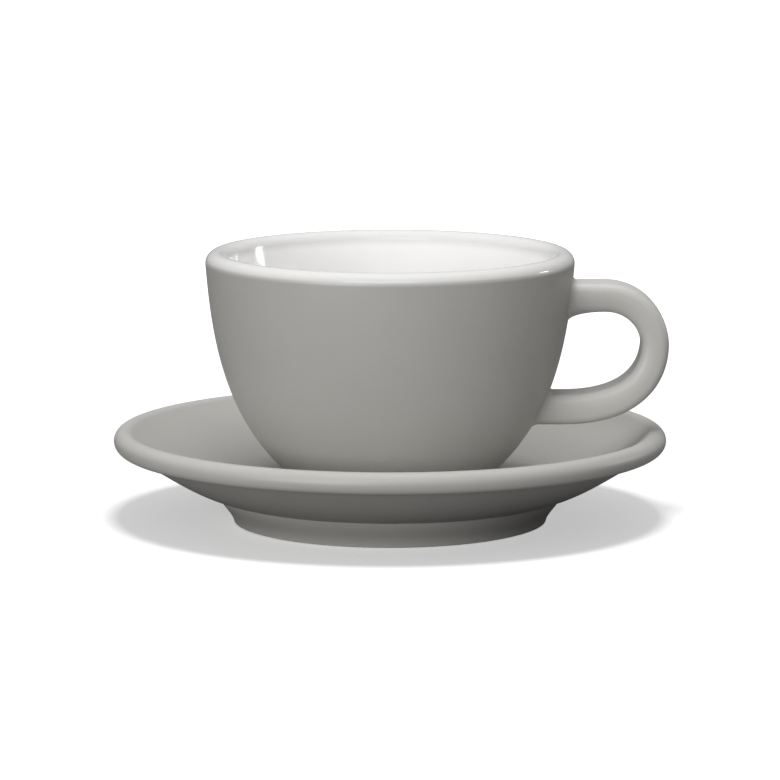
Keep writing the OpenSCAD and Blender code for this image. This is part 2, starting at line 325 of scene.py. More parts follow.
def curve_run(points, steps, side=1):
    """A curve from its four control points; side is 1 where the clay lies to its heading's right."""
    t = np.linspace(0, 1, steps + 1)[:, None]
    p = [np.asarray(q, float) for q in points]
    place = (1 - t) ** 3 * p[0] + 3 * (1 - t) ** 2 * t * p[1] + 3 * (1 - t) * t * t * p[2] + t**3 * p[3]
    heading = (1 - t) ** 2 * (p[1] - p[0]) + 2 * (1 - t) * t * (p[2] - p[1]) + t * t * (p[3] - p[2])
    heading /= np.linalg.norm(heading, axis=1)[:, None]
    return np.c_[place, side * np.c_[-heading[:, 1], heading[:, 0]]]


def straight_run(a, b, normal, steps):
    t = np.linspace(0, 1, steps + 1)[:, None]
    place = (1 - t) * np.asarray(a, float) + t * np.asarray(b, float)
    return np.c_[place, np.tile(normal, (steps + 1, 1))]


def between(a, heading_a, b, heading_b, share):
    """Control points of a curve that leaves and arrives under given headings."""
    span = np.linalg.norm(np.asarray(b) - np.asarray(a))
    return [a, a + polar(span * share[0], heading_a), b - polar(span * share[1], heading_b), b]


def joined(*runs):
    """Runs one after another, without points that repeat."""
    whole = np.vstack(runs)
    steps = np.linalg.norm(np.diff(whole[:, :2], axis=0), axis=1)
    return whole[np.r_[True, steps > TINY]]


def sunk(run, depth):
    """A run moved into the clay by depth."""
    moved = run.copy()
    moved[:, :2] -= depth * run[:, 2:]
    return moved


def lining(run, depth):
    """The underside of a glaze coat: the run at depth, walked back, facing inwards."""
    back = sunk(run, depth)[::-1].copy()
    back[:, 2:] *= -1
    return back


def glaze_end(run, depth, first):
    """The rounded edge at which a glaze coat stops, after the run's last point or before its first."""
    point, normal = (run[0, :2], run[0, 2:]) if first else (run[-1, :2], run[-1, 2:])
    centre = point - normal * depth / 2
    outward = np.degrees(np.arctan2(normal[1], normal[0]))
    # The clay lies to the right of the run's heading, so the coat's edge turns to the right
    start, end = (outward + 180, outward) if first else (outward, outward - 180)
    return arc_run(centre, depth / 2, start, end, steps=6)


class CupProfile:
    """The cup's outline at its glazed surface: outside, inside, recess and the bare ring of the foot."""

    def __init__(self, cup, finish):
        self.t = finish.thickness
        lip_lean, foot_lean, bowl_lean = np.degrees([cup.lip_lean, cup.foot_lean, cup.bowl_lean])
        foot = np.array([0, cup.foot])
        lip = np.array([cup.radius - cup.lip_radius, cup.top - cup.lip_radius])
        meeting = np.degrees(np.arcsin(1 - cup.white_band / cup.lip_radius))
        white = arc_run(lip, cup.lip_radius, meeting, 180 - bowl_lean, steps=36)
        shoulder = arc_run(lip, cup.lip_radius, meeting, -lip_lean, steps=6)

        widening = finish.cove * (1 - np.cos(cup.foot_lean))
        wall_low = foot + [cup.foot_radius + widening, cup.foot_height]
        wall = between(shoulder[-1, :2], -90 - lip_lean, wall_low, -90 - foot_lean, WALL_SHARES)
        self.wall = curve_run(wall, steps=56)
        cove_centre = wall_low + polar(finish.cove, -foot_lean)
        cove = arc_run(cove_centre, finish.cove, 180 - foot_lean, 180, steps=10, side=-1)
        glaze_stop = foot + [cup.foot_radius, finish.bare_edge]
        flank = straight_run(cove[-1, :2], glaze_stop, (1, 0), steps=2)
        self.outside = joined(shoulder, self.wall, cove, flank)

        top = white[-1, :2]
        floor = np.array([0, cup.foot + cup.recess + cup.base])
        down, across = BOWL_SHARES
        bowl = [
            top,
            top + polar((top[1] - floor[1]) * down, -90 - bowl_lean),
            floor + [top[0] * across, 0],
            floor,
        ]
        self.inside = joined(white, curve_run(bowl, steps=64, side=-1))

        recess_radius = cup.foot_radius - cup.foot_width
        self.recess = recess_run(recess_radius, foot, cup.recess, finish)
        edge_centre = foot + [cup.foot_radius - self.t - finish.bare_edge, finish.bare_edge]
        self.bare = bare_ring(edge_centre, 0, recess_radius + self.t, finish)


def recess_run(radius, foot, height, finish):
    """The recess inside a foot ring, from the glaze's edge to the axis."""
    fillet = min(finish.cove, (height - finish.bare_edge) * RECESS_FILLET)
    start = foot + [radius, finish.bare_edge]
    corner_centre = foot + [radius - fillet, height - fillet]
    return joined(
        straight_run(start, corner_centre + [fillet, 0], (-1, 0), steps=2),
        arc_run(corner_centre, fillet, 0, 90, steps=8, side=-1),
        straight_run(corner_centre + [0, fillet], foot + [0, height], (0, -1), steps=16),
    )


def bare_ring(edge_centre, lean, inner_radius, finish):
    """The bare foot ring at the porcelain's surface, from its outer to its inner edge."""
    inner_centre = np.array([inner_radius + finish.bare_edge, edge_centre[1]])
    ground = edge_centre[1] - finish.bare_edge
    return joined(
        arc_run(edge_centre, finish.bare_edge, -lean, -90, steps=8),
        straight_run((edge_centre[0], ground), (inner_centre[0], ground), (0, -1), steps=6),
        arc_run(inner_centre, finish.bare_edge, 270, 180, steps=8),
    )


class SaucerProfile:
    """The saucer's outline at its glazed surface."""

    def __init__(self, saucer, cup, finish):
        self.t = finish.thickness
        rim_slope, dish_slope = np.degrees([saucer.rim_slope, saucer.dish_slope])
        foot_slope, top_lean, low_lean = np.degrees(
            [saucer.foot_slope, saucer.flank_top_lean, saucer.flank_low_lean]
        )
        bead = np.array([saucer.radius - saucer.bead, saucer.top - saucer.bead])
        floor = np.array(saucer.floor_at)
        well = np.array([cup.foot_radius + saucer.well_clear, cup.foot])
        dish_start = bead + polar(saucer.bead, 90 + dish_slope)
        dish = between(dish_start, 180 + dish_slope, floor, 180, DISH_SHARES)
        step_start = np.array([well[0] + saucer.well_step, floor[1]])
        step = between(step_start, 180, well, 180, WELL_STEP_SHARES)
        top = joined(
            curve_run(dish, steps=48, side=-1),
            straight_run(floor, step_start, (0, 1), steps=4),
            curve_run(step, steps=16, side=-1),
            straight_run(well, (0, well[1]), (0, 1), steps=12),
        )
        rim_crease = bead + polar(saucer.bead + saucer.bead_crease, -BEAD_WRAP)
        flange_start = rim_crease + polar(saucer.bead_crease, 90 + rim_slope)
        crease_top = np.array(saucer.crease_at)
        flange = between(flange_start, 180 + rim_slope, crease_top, 180 + foot_slope, FLANGE_SHARES)
        crease = crease_top + polar(saucer.crease, 270 + foot_slope)
        flank_top = crease + polar(saucer.crease, 180 - top_lean)
        edge_centre = np.array([saucer.foot_radius, finish.bare_edge])
        flank_low = edge_centre + polar(finish.bare_edge + self.t, -low_lean)
        flank = between(flank_top, -90 - top_lean, flank_low, -90 - low_lean, FLANK_SHARES)
        under = joined(
            arc_run(bead, saucer.bead, 90 + dish_slope, -BEAD_WRAP, steps=48),
            arc_run(rim_crease, saucer.bead_crease, 180 - BEAD_WRAP, 90 + rim_slope, steps=10, side=-1),
            curve_run(flange, steps=40),
            arc_run(crease, saucer.crease, 90 + foot_slope, 180 - top_lean, steps=10, side=-1),
            curve_run(flank, steps=14),
        )
        self.outside = joined(top[::-1], under)
        recess_radius = saucer.foot_radius - saucer.foot_width
        self.recess = recess_run(recess_radius, np.zeros(2), saucer.recess, finish)
        self.bare = bare_ring(edge_centre, low_lean, recess_radius + self.t, finish)


# Meshes


def lathe(name, outlines, segments):
    """A mesh turned around the axis from outlines that are closed, or that start and end on the axis."""
    points, normals, faces = [], [], []
    angles = 2 * np.pi * np.arange(segments) / segments
    cos, sin = np.cos(angles), np.sin(angles)
    for outline in outlines:
        rings = []
        for r, z, nr, nz in outline:
            first = len(points)
            if r < TINY:
                points.append((0.0, 0.0, z))
                normals.append((0.0, 0.0, 1.0 if nz > 0 else -1.0))
                rings.append([first] * segments)
            else:
                points.extend(zip(r * cos, r * sin, [z] * segments))
                normals.extend(zip(nr * cos, nr * sin, [nz] * segments))
                rings.append(list(range(first, first + segments)))
        open_ended = outline[0, 0] < TINY
        pairs = zip(rings[:-1], rings[1:]) if open_ended else zip(rings, rings[1:] + rings[:1])
        for low, high in pairs:
            for i in range(segments):
                j = (i + 1) % segments
                face = [low[i], high[i], high[j], low[j]]
                faces.append([v for k, v in enumerate(face) if v not in face[:k]])
    return smooth_mesh(name, points, faces, normals)


def smooth_mesh(name, points, faces, normals):
    """A smooth-shaded object in the row frame, with the given normal at each point."""
    mesh = bpy.data.meshes.new(name)
    mesh.from_pydata([tuple(map(float, p)) for p in points], [], faces)
    mesh.validate()
    mesh.shade_smooth()
    mesh.normals_split_custom_set_from_vertices([tuple(map(float, n)) for n in normals])
    piece = bpy.data.objects.new(name, mesh)
    bpy.context.scene.collection.objects.link(piece)
    return piece


def coat(run, depth, rounded_first=False, rounded_last=False):
    """A glaze coat's closed outline, whose two ends are rounded or cut flat."""
    parts = [run, lining(run, depth)]
    if rounded_last:
        parts.insert(1, glaze_end(run, depth, first=False))
    if rounded_first:
        parts.append(glaze_end(run, depth, first=True))
    return np.vstack(parts)


def grey_coats(profile):
    """Outlines of the outer coat and the recess's coat; one that meets the axis starts and ends there."""
    outer = coat(profile.outside, profile.t, rounded_last=True)
    recess = coat(profile.recess, profile.t, rounded_first=True)
    return [outer, np.roll(recess, -len(profile.recess), axis=0)]


def finish_piece(piece, body, material, node):
    """Puts a piece on its body, in place of the fixed node that it stands for."""
    piece.data.materials.append(material)
    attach(piece, body)
    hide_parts(node)


# Handle


class WallDistance:
    """Nearest points on the cup's glazed wall, for fillets that touch it."""

    def __init__(self, wall):
        self.wall = wall

    def nearest(self, point):
        """Distance to the wall, the nearest point on it and the wall's normal there; negative inside."""
        radius = np.hypot(point[0], point[1])
        place = np.array([radius, point[2]])
        a, b = self.wall[:-1, :2], self.wall[1:, :2]
        along = np.clip(np.sum((place - a) * (b - a), axis=1) / np.sum((b - a) ** 2, axis=1), 0, 1)
        foot = a + along[:, None] * (b - a)
        k = int(np.argmin(np.linalg.norm(place - foot, axis=1)))
        normal = (1 - along[k]) * self.wall[k, 2:] + along[k] * self.wall[k + 1, 2:]
        normal /= np.linalg.norm(normal)
        out = np.array([point[0], point[1]]) / radius
        distance = float(np.dot(place - foot[k], normal))
        on_wall = np.array([*(foot[k][0] * out), foot[k][1]])
        return distance, on_wall, np.array([*(normal[0] * out), normal[1]])


def handle_section(half_thick, half_depth, edge, crown):
    """Points around the handle's section, each as outwards, across and the normal's two parts."""
    corner = np.array([half_thick, half_depth]) - edge - crown
    runs = []
    for start in (0, 90, 180, 270):
        centre = corner * np.sign(polar(1, start + 45))
        reaches = corner[::-1] if start % 180 == 0 else corner
        before, after = np.degrees(2 * np.arctan(crown / reaches))
        runs.append(arc_run(centre, edge, start + before, start + 90 - after, steps=7))
        # The side after this corner is a shallow arc that leaves it smoothly
        radius = edge + reaches[1] / np.sin(np.radians(after))
        middle = centre - polar(radius - edge, start + 90 - after)
        runs.append(arc_run(middle, radius, start + 90 - after, start + 90 + after, steps=6)[1:-1])
    return np.vstack(runs)


def root_rail(wall, start, normal, spread):
    """A line from an arm's end at start, that sweeps onto the wall; spread is its length and height."""
    low, high = ROOT_SEARCH * start[0], start[0]
    while high - low > SEARCH_END:
        middle = (low + high) / 2
        if wall.nearest(np.array([middle, *start[1:]]))[0] > 0:
            high = middle
        else:
            low = middle
    meet = np.array([high, *start[1:]])
    leave = meet + [min(spread[0], ROOT_LONGEST * (start[0] - high)), 0, 0]

    def up_the_wall(wall_normal):
        along = normal - np.dot(normal, wall_normal) * wall_normal
        return along / np.linalg.norm(along)

    _, _, wall_normal = wall.nearest(meet)
    _, touch, wall_normal = wall.nearest(meet + spread[1] * up_the_wall(wall_normal))

    def quarter(t):
        """A point of a quarter ellipse, as a conic whose corner is where the arm would meet the wall."""
        weights = np.array([(1 - t) ** 2, np.sqrt(2) * t * (1 - t), t * t])
        return weights @ np.array([leave, meet, touch]) / weights.sum()

    rail = [[*((1 - k) * start + k * leave), *normal] for k in ROOT_ARM_RINGS]
    for t in np.linspace(0, 1, ROOT_RINGS):
        heading = quarter(min(t + NUDGE, 1)) - quarter(min(t, 1 - NUDGE))
        mixed = abs(np.dot(wall_normal, heading)) * normal + abs(np.dot(normal, heading)) * wall_normal
        rail.append([*quarter(t), *(mixed / np.linalg.norm(mixed))])
    rail[-1][3:] = wall_normal
    along = up_the_wall(wall_normal)
    for ahead, deep in ROOT_HEMS:
        rail.append([*(touch + ahead * along - deep * wall_normal), *wall_normal])
    return rail


def handle_rings(cup, handle, wall):
    """Rings of points and normals along the loop's glazed surface, from the upper root to the lower."""
    upper = cup.top - handle.drop
    lower = upper - handle.gap
    widest = np.array([handle.reach, upper - handle.widest_drop])
    arm_out, arm_in = np.array([handle.upper_bend, upper]), np.array([handle.lower_bend, lower])
    leaving, arriving = UPPER_BEND_SHARES
    bend_out = [
        arm_out,
        arm_out + [(widest[0] - arm_out[0]) * leaving, 0],
        widest + [0, (upper - widest[1]) * arriving],
        widest,
    ]
    leaving, arriving = LOWER_BEND_SHARES
    bend_in = [
        widest,
        widest - [0, (widest[1] - lower) * leaving],
        arm_in + [(widest[0] - arm_in[0]) * arriving, 0],
        arm_in,
    ]

    def ring(place, outward, thick):
        section = handle_section(thick / 2, handle.depth / 2, handle.edge, handle.crown)
        out, across, n_out, n_across = section.T
        x, z = place[0] + out * outward[0], place[1] + out * outward[1]
        return np.c_[x, across, z, n_out * outward[0], n_across, n_out * outward[1]]

    def bend(points, thick_a, thick_b, steps):
        rings = []
        for row, t in zip(curve_run(points, steps), np.linspace(0, 1, steps + 1)):
            share = t * t * (3 - 2 * t)
            rings.append(ring(row[:2], row[2:], thick_a + (thick_b - thick_a) * share))
        return rings

    def root(start, outside, outer_spread, inner_spread):
        """Rings from an arm's end onto the wall; outside is 1 where the loop's outside is up."""
        rails = []
        for row in start:
            out = row[5] * outside
            side = np.array(handle.side_fillet)
            edge = np.array(outer_spread if out > 0 else inner_spread)
            rails.append(root_rail(wall, row[:3], row[3:], side + (edge - side) * out * out))
        return [np.array([rail[k] for rail in rails]) for k in range(len(rails[0]))]

    first = ring(bend_out[0], (0, 1), handle.upper_thick)
    last = ring(bend_in[3], (0, -1), handle.lower_thick)
    return (
        root(first, 1, handle.upper_root, handle.upper_web)[::-1]
        + bend(bend_out, handle.upper_thick, handle.widest_thick, steps=30)
        + bend(bend_in, handle.widest_thick, handle.lower_thick, steps=36)[1:]
        + root(last, -1, handle.lower_root, handle.lower_web)
    )


def tube_faces(first, rings, count, outside=True):
    """Faces along rings of count points each; outside is false for a lining."""
    faces = []
    for k in range(rings - 1):
        low = first + k * count
        for i in range(count):
            j = (i + 1) % count
            face = [low + i, low + count + i, low + count + j, low + j]
            faces.append(face if outside else face[::-1])
    return faces


def handle_coat(name, rings, depth):
    """The handle's glaze as a closed skin between its surface and depth below it."""
    count, last = len(rings[0]), (len(rings) - 1) * len(rings[0])
    inner = len(rings) * count
    surface = np.vstack(rings)
    points = np.vstack([surface[:, :3], surface[:, :3] - depth * surface[:, 3:]])
    normals = np.vstack([surface[:, 3:], -surface[:, 3:]])
    faces = tube_faces(0, len(rings), count) + tube_faces(inner, len(rings), count, outside=False)
    for i in range(count):
        j = (i + 1) % count
        faces.append([i, j, inner + j, inner + i])
        faces.append([last + j, last + i, inner + last + i, inner + last + j])
    return smooth_mesh(name, points, faces, normals)


def handle_core(name, rings, depth):
    """The handle's porcelain below its glaze, closed at both ends inside the wall."""
    count = len(rings[0])
    surface = np.vstack(rings)
    faces = tube_faces(0, len(rings), count)
    last = (len(rings) - 1) * count
    faces += [list(range(count)), list(range(last + count - 1, last - 1, -1))]
    return smooth_mesh(name, surface[:, :3] - depth * surface[:, 3:], faces, surface[:, 3:])


# Materials


def shader_group(name, inputs, outputs):
    """A new node group and its sockets; inputs have labels and defaults, and outputs labels and kinds."""
    group = bpy.data.node_groups.new(name, "ShaderNodeTree")
    for label, default in inputs.items():
        kind = "Color" if isinstance(default, tuple) else "Float"
        socket = group.interface.new_socket(name=label, in_out="INPUT", socket_type="NodeSocket" + kind)
        socket.default_value = default
    for label, kind in outputs.items():
        group.interface.new_socket(name=label, in_out="OUTPUT", socket_type="NodeSocket" + kind)
    source = group.nodes.new("NodeGroupInput")
    target = group.nodes.new("NodeGroupOutput")
    return group, source.outputs, target.inputs


class Wiring:
    """Adds nodes to a tree, with their settings and what feeds them."""

    def __init__(self, tree):
        self.tree = tree

    def add(self, kind, *values, settings=None, **feeds):
        """A node whose first sockets take values in turn, and whose named sockets take feeds."""
        node = self.tree.nodes.new(kind)
        for key, value in (settings or {}).items():
            setattr(node, key, value)
        for socket, value in zip(node.inputs, values):
            self.feed(socket, value)
        for key, value in feeds.items():
            self.feed(node.inputs[key.replace("_", " ")], value)
        return node

    def add_group(self, name, make, values):
        """A shared node group, made when it is first asked for, with the material's own values."""
        group = bpy.data.node_groups.get(name) or make(name)
        node = self.add("ShaderNodeGroup", settings={"node_tree": group})
        for label, value in values.items():
            node.inputs[label].default_value = value
        return node.outputs

    def feed(self, socket, value):
        if isinstance(value, bpy.types.NodeSocket):
            self.tree.links.new(value, socket)
        else:
            socket.default_value = value

    def math(self, operation, a, b=0.0, clamp=False):
        settings = {"operation": operation, "use_clamp": clamp}
        return self.add("ShaderNodeMath", a, b, settings=settings).outputs[0]

    def mix(self, kind, share, a, b):
        node = self.add("ShaderNodeMix", share, settings={"data_type": kind})
        first, second, result = MIX_SOCKETS[kind]
        self.feed(node.inputs[first], a)
        self.feed(node.inputs[second], b)
        return node.outputs[result]

    def noise(self, place, size, detail):
        """Soft noise whose clouds are about size metres wide."""
        scale = self.math("DIVIDE", 1.0, size)
        return self.add("ShaderNodeTexNoise", Vector=place, Scale=scale, Detail=detail).outputs["Fac"]


def emptied(owner):
    """The emptied node tree of a material or a world, ready for its own nodes."""
    owner.use_nodes = True
    owner.node_tree.nodes.clear()
    return Wiring(owner.node_tree)


def cloud_group(name):
    """Soft clouds of a slightly lighter and darker tone, as where glaze lies thick or thin."""
    inputs = {"Colour": (0.5, 0.5, 0.5, 1), "Strength": 0.05, "Cloud size": 0.02}
    group, given, result = shader_group(name, inputs, {"Colour": "Color"})
    wire = Wiring(group)
    place = wire.add("ShaderNodeTexCoord").outputs["Object"]
    wide = wire.math("MULTIPLY", wire.noise(place, given["Cloud size"], detail=3), CLOUD_WEIGHTS[0])
    fine = wire.math("MULTIPLY", wire.noise(place, FINE_CLOUD, detail=2), CLOUD_WEIGHTS[1])
    # The noise swings about a half, and the tone about one
    swing = wire.math("SUBTRACT", wire.math("ADD", wide, fine), 0.5)
    swing = wire.math("MULTIPLY", wire.math("MULTIPLY", swing, given["Strength"]), 2.0)
    value = wire.math("ADD", swing, 1.0)
    tone = wire.add("ShaderNodeHueSaturation", Value=value, Color=given["Colour"])
    wire.feed(result["Colour"], tone.outputs["Color"])
    return group


def speck_group(name):
    """Fine kiln specks: a mask of scattered round dots."""
    inputs = {"Spacing": 0.004, "Share": 0.2, "Dot": 0.06}
    group, given, result = shader_group(name, inputs, {"Mask": "Float"})
    wire = Wiring(group)
    place = wire.add("ShaderNodeTexCoord").outputs["Object"]
    scale = wire.math("DIVIDE", 1.0, given["Spacing"])
    cells = wire.add("ShaderNodeTexVoronoi", Vector=place, Scale=scale)
    picked = wire.add("ShaderNodeSeparateColor", Color=cells.outputs["Color"]).outputs[0]
    chosen = wire.math("LESS_THAN", picked, given["Share"])
    near = wire.math("SUBTRACT", given["Dot"], cells.outputs["Distance"])
    soft = wire.math("DIVIDE", near, given["Dot"], clamp=True)
    wire.feed(result["Mask"], wire.math("MULTIPLY", soft, chosen))
    return group


def surface_group(name):
    """How a fired surface varies: its roughness, and its height in millimetres."""
    inputs = {"Roughness": 0.4, "Spread": 0.1}
    inputs |= {"Wave height": 0.02, "Wave size": 0.012, "Grain height": 0.002, "Grain size": 0.0006}
    group, given, result = shader_group(name, inputs, {"Roughness": "Float", "Height": "Float"})
    wire = Wiring(group)
    place = wire.add("ShaderNodeTexCoord").outputs["Object"]
    patches = wire.math("SUBTRACT", wire.noise(place, ROUGH_PATCH, detail=4), 0.5)
    swing = wire.math("MULTIPLY", patches, given["Spread"])
    wire.feed(result["Roughness"], wire.math("ADD", given["Roughness"], swing, clamp=True))
    heights = []
    for part, detail in (("Wave", 1), ("Grain", 2)):
        noise = wire.noise(place, given[part + " size"], detail)
        heights.append(wire.math("MULTIPLY", noise, given[part + " height"]))
    wire.feed(result["Height"], wire.math("ADD", *heights))
    return group


def band_group(name):
    """A soft mask by height above the table, outside a radius, for where coats meet, and for painted
    shade and painted light near the lip.
    """
    inputs = {"Clear at": 0.066, "Full at": 0.07, "Outside radius": 0.0}
    group, given, result = shader_group(name, inputs, {"Mask": "Float"})
    wire = Wiring(group)
    place = wire.add("ShaderNodeTexCoord").outputs["Object"]
    parts = wire.add("ShaderNodeSeparateXYZ", Vector=place).outputs
    band = wire.add(
        "ShaderNodeMapRange",
        settings={"interpolation_type": "SMOOTHSTEP"},
        Value=parts["Z"],
        From_Min=given["Clear at"],
        From_Max=given["Full at"],
    )
    squares = [wire.math("MULTIPLY", parts[axis], parts[axis]) for axis in "XY"]
    radius = wire.math("SQRT", wire.math("ADD", *squares))
    outside = wire.math("GREATER_THAN", radius, given["Outside radius"])
    wire.feed(result["Mask"], wire.math("MULTIPLY", band.outputs["Result"], outside))
    return group


def fired_material(name, glaze, clouds, surface, dots, speck, gloss_index, bands=()):
    """A fired surface: clouded colour, a few specks, its own roughness and a fine relief.

    A speck is its colour and its strength. A band is a colour, and the heights over which it takes over.
    """
    material = bpy.data.materials.new(name)
    wire = emptied(material)
    clouds = {"Colour": (*glaze, 1), **clouds}
    tone = wire.add_group("Glaze clouds", cloud_group, clouds)["Colour"]
    mask = wire.add_group("Kiln specks", speck_group, dots)["Mask"]
    speck_colour, strength = speck
    base = wire.mix("RGBA", wire.math("MULTIPLY", mask, strength), tone, (*speck_colour, 1))
    for band_colour, limits in bands:
        mask = wire.add_group("Height band", band_group, limits)["Mask"]
        base = wire.mix("RGBA", mask, base, (*band_colour, 1))
    fired = wire.add_group("Fired surface", surface_group, surface)
    bump = wire.add("ShaderNodeBump", Height=fired["Height"], Distance=MM)
    principled = wire.add(
        "ShaderNodeBsdfPrincipled",
        Base_Color=base,
        Roughness=fired["Roughness"],
        Normal=bump.outputs["Normal"],
        IOR=gloss_index,
    )
    wire.add("ShaderNodeOutputMaterial", Surface=principled.outputs["BSDF"])
    return material


def blended(a, b, share):
    """A colour that is share of the way from a to b."""
    return tuple((1 - share) * p + share * q for p, q in zip(a, b))


def grey_glaze(finish, cup, tone=1.0):
    """Satin grey glaze; just below its meeting with the white on the cup it is painted lighter, and a
    tone above one gives a painted lighter copy for the handle.
    """
    name = "Satin grey glaze" if tone == 1.0 else "Satin grey glaze, thinner"
    meeting = cup.top - cup.white_band
    # Painted light: a lighter band of the grey just below the meeting, where the lip's shoulder turns up
    # to the light
    meeting_band = {"Clear at": meeting - 1.2 * MM, "Full at": meeting + 0.1 * MM}
    relief = {"Wave height": 0.02, "Wave size": 0.012, "Grain height": 0.003, "Grain size": 0.0005}
    return bpy.data.materials.get(name) or fired_material(
        name,
        [tone * part for part in finish.grey],
        clouds={"Strength": 0.05, "Cloud size": 0.018},
        surface={"Roughness": finish.satin, "Spread": 0.1, **relief},
        dots={"Spacing": 0.0035, "Share": 0.25, "Dot": 0.05},
        speck=((0.22, 0.22, 0.2), 0.35),
        gloss_index=1.5,
        bands=[(blended(finish.grey, finish.white, share=0.3), meeting_band)],
    )


def white_glaze(finish, cup):
    """Glossy white glaze; painted shade darkens it over the lip, and the grey coat stains its lower edge
    outside.
    """
    name = "Glossy white glaze"
    meeting = cup.top - cup.white_band
    outside = cup.radius - cup.lip_radius
    # Painted shade: the white is darkened over the lip's crest and just below it, where the most light
    # falls
    lip_shaded = {"Clear at": cup.top - 4.5 * MM, "Full at": cup.top - 1.5 * MM}
    meeting_band = {"Clear at": meeting + 0.8 * MM, "Full at": meeting - 0.2 * MM, "Outside radius": outside}
    relief = {"Wave height": 0.03, "Wave size": 0.014, "Grain height": 0.0004, "Grain size": 0.0012}
    return bpy.data.materials.get(name) or fired_material(
        name,
        finish.white,
        clouds={"Strength": 0.02, "Cloud size": 0.02},
        surface={"Roughness": finish.gloss, "Spread": 0.04, **relief},
        dots={"Spacing": 0.006, "Share": 0.12, "Dot": 0.03},
        speck=((0.6, 0.58, 0.52), 0.2),
        gloss_index=1.52,
        bands=[
            ([LIP_SHADE * part for part in finish.white], lip_shaded),
            (blended(finish.white, finish.grey, share=0.5), meeting_band),
        ],
    )


def bare_porcelain(finish):
    """Bare fired porcelain, matt and slightly sandy."""
    name = "Bare porcelain"
    relief = {"Wave height": 0.02, "Wave size": 0.004, "Grain height": 0.012, "Grain size": 0.0003}
    return bpy.data.materials.get(name) or fired_material(
        name,
        finish.porcelain,
        clouds={"Strength": 0.08, "Cloud size": 0.006},
        surface={"Roughness": finish.bare, "Spread": 0.15, **relief},
        dots={"Spacing": 0.002, "Share": 0.3, "Dot": 0.08},
        speck=((0.42, 0.36, 0.28), 0.5),
        gloss_index=1.45,
    )


# Operators


class CUPSET_OT_saucer_body(bpy.types.Operator):
    """Turns the saucer's porcelain body, whose foot ring is left bare"""

    bl_idname = "cupset.saucer_body"
    bl_label = "Saucer body"

    def execute(self, context):
        scene = context.scene
        finish = scene.glaze_finish
        profile = SaucerProfile(scene.saucer_sizes, scene.cup_sizes, finish)
        top, recess = (sunk(run, profile.t) for run in (profile.outside, profile.recess))
        piece = lathe("saucer_porcelain", [joined(top, profile.bare, recess)], scene.studio.segments)
        finish_piece(piece, "saucer", bare_porcelain(finish), "saucer_body")
        return {"FINISHED"}


class CUPSET_OT_saucer_glaze(bpy.types.Operator):
    """Turns the saucer's grey glaze and the coat in the recess under it"""

    bl_idname = "cupset.saucer_glaze"
    bl_label = "Saucer glaze"

    def execute(self, context):
        scene = context.scene
        finish = scene.glaze_finish
        profile = SaucerProfile(scene.saucer_sizes, scene.cup_sizes, finish)
        piece = lathe("saucer_grey_glaze", grey_coats(profile), scene.studio.segments)
        finish_piece(piece, "saucer", grey_glaze(finish, scene.cup_sizes), "saucer_glaze")
        return {"FINISHED"}


class CUPSET_OT_cup_body(bpy.types.Operator):
    """Turns the cup's porcelain body, whose foot ring is left bare"""

    bl_idname = "cupset.cup_body"
    bl_label = "Cup body"

    def execute(self, context):
        scene = context.scene
        finish = scene.glaze_finish
        profile = CupProfile(scene.cup_sizes, finish)
        runs = (profile.inside[::-1], profile.outside, profile.recess)
        bowl, wall, recess = (sunk(run, profile.t) for run in runs)
        outline = joined(bowl, wall, profile.bare, recess)
        piece = lathe("cup_porcelain", [outline], scene.studio.segments)
        finish_piece(piece, "cup", bare_porcelain(finish), "cup_body")
        return {"FINISHED"}


class CUPSET_OT_cup_glazes(bpy.types.Operator):
    """Turns the cup's white glaze, its grey glaze and the coat in the recess under it"""

    bl_idname = "cupset.cup_glazes"
    bl_label = "Cup glazes"

    def execute(self, context):
        scene = context.scene
        finish, cup = scene.glaze_finish, scene.cup_sizes
        profile = CupProfile(cup, finish)
        inside = coat(profile.inside[::-1], profile.t)
        white = lathe("cup_white_glaze", [inside], scene.studio.segments)
        finish_piece(white, "cup", white_glaze(finish, cup), "cup_inner_glaze")
        grey = lathe("cup_grey_glaze", grey_coats(profile), scene.studio.segments)
        finish_piece(grey, "cup", grey_glaze(finish, cup), "cup_outer_glaze")
        return {"FINISHED"}


class CUPSET_OT_handle(bpy.types.Operator):
    """Sweeps the handle's porcelain and its grey glaze from root to root"""

    bl_idname = "cupset.handle"
    bl_label = "Handle"

    def execute(self, context):
        scene = context.scene
        finish, cup = scene.glaze_finish, scene.cup_sizes
        wall = WallDistance(CupProfile(cup, finish).wall)
        rings = handle_rings(cup, scene.handle_sizes, wall)
        core = handle_core("handle_porcelain", rings, finish.thickness)
        finish_piece(core, "cup", bare_porcelain(finish), "cup_handle")
        skin = handle_coat("handle_grey_glaze", rings, finish.thickness)
        # Painted light: the handle gets a lighter copy of the grey glaze
        painted_lighter = grey_glaze(finish, cup, finish.handle_painted_light)
        finish_piece(skin, "cup", painted_lighter, "handle_glaze")
        return {"FINISHED"}


def place_lamp(name, power, lit):
    """A soft lamp aimed at the cup; azimuth 0 is the camera's side, and positive is to the right.

    Its light falls on the surfaces, and its gloss is its mirror image in them.
    """
    azimuth, elevation, size, gives_light, gives_gloss = LAMPS[name]
    lamp = bpy.data.lights.new(name + "_lamp", "AREA")
    lamp.shape = "RECTANGLE"
    lamp.size, lamp.size_y = size
    lamp.energy = power
    holder = bpy.data.objects.new(name + "_lamp", lamp)
    bpy.context.scene.collection.objects.link(holder)
    az, el = np.radians([azimuth, elevation])
    away = Vector((np.cos(el) * np.sin(az), -np.cos(el) * np.cos(az), np.sin(el)))
    holder.location = LAMP_AIM + LAMP_DISTANCE * away
    holder.rotation_euler = away.to_track_quat("Z", "Y").to_euler()
    holder.light_linking.receiver_collection = lit
    holder.visible_diffuse = gives_light
    holder.visible_glossy = gives_gloss


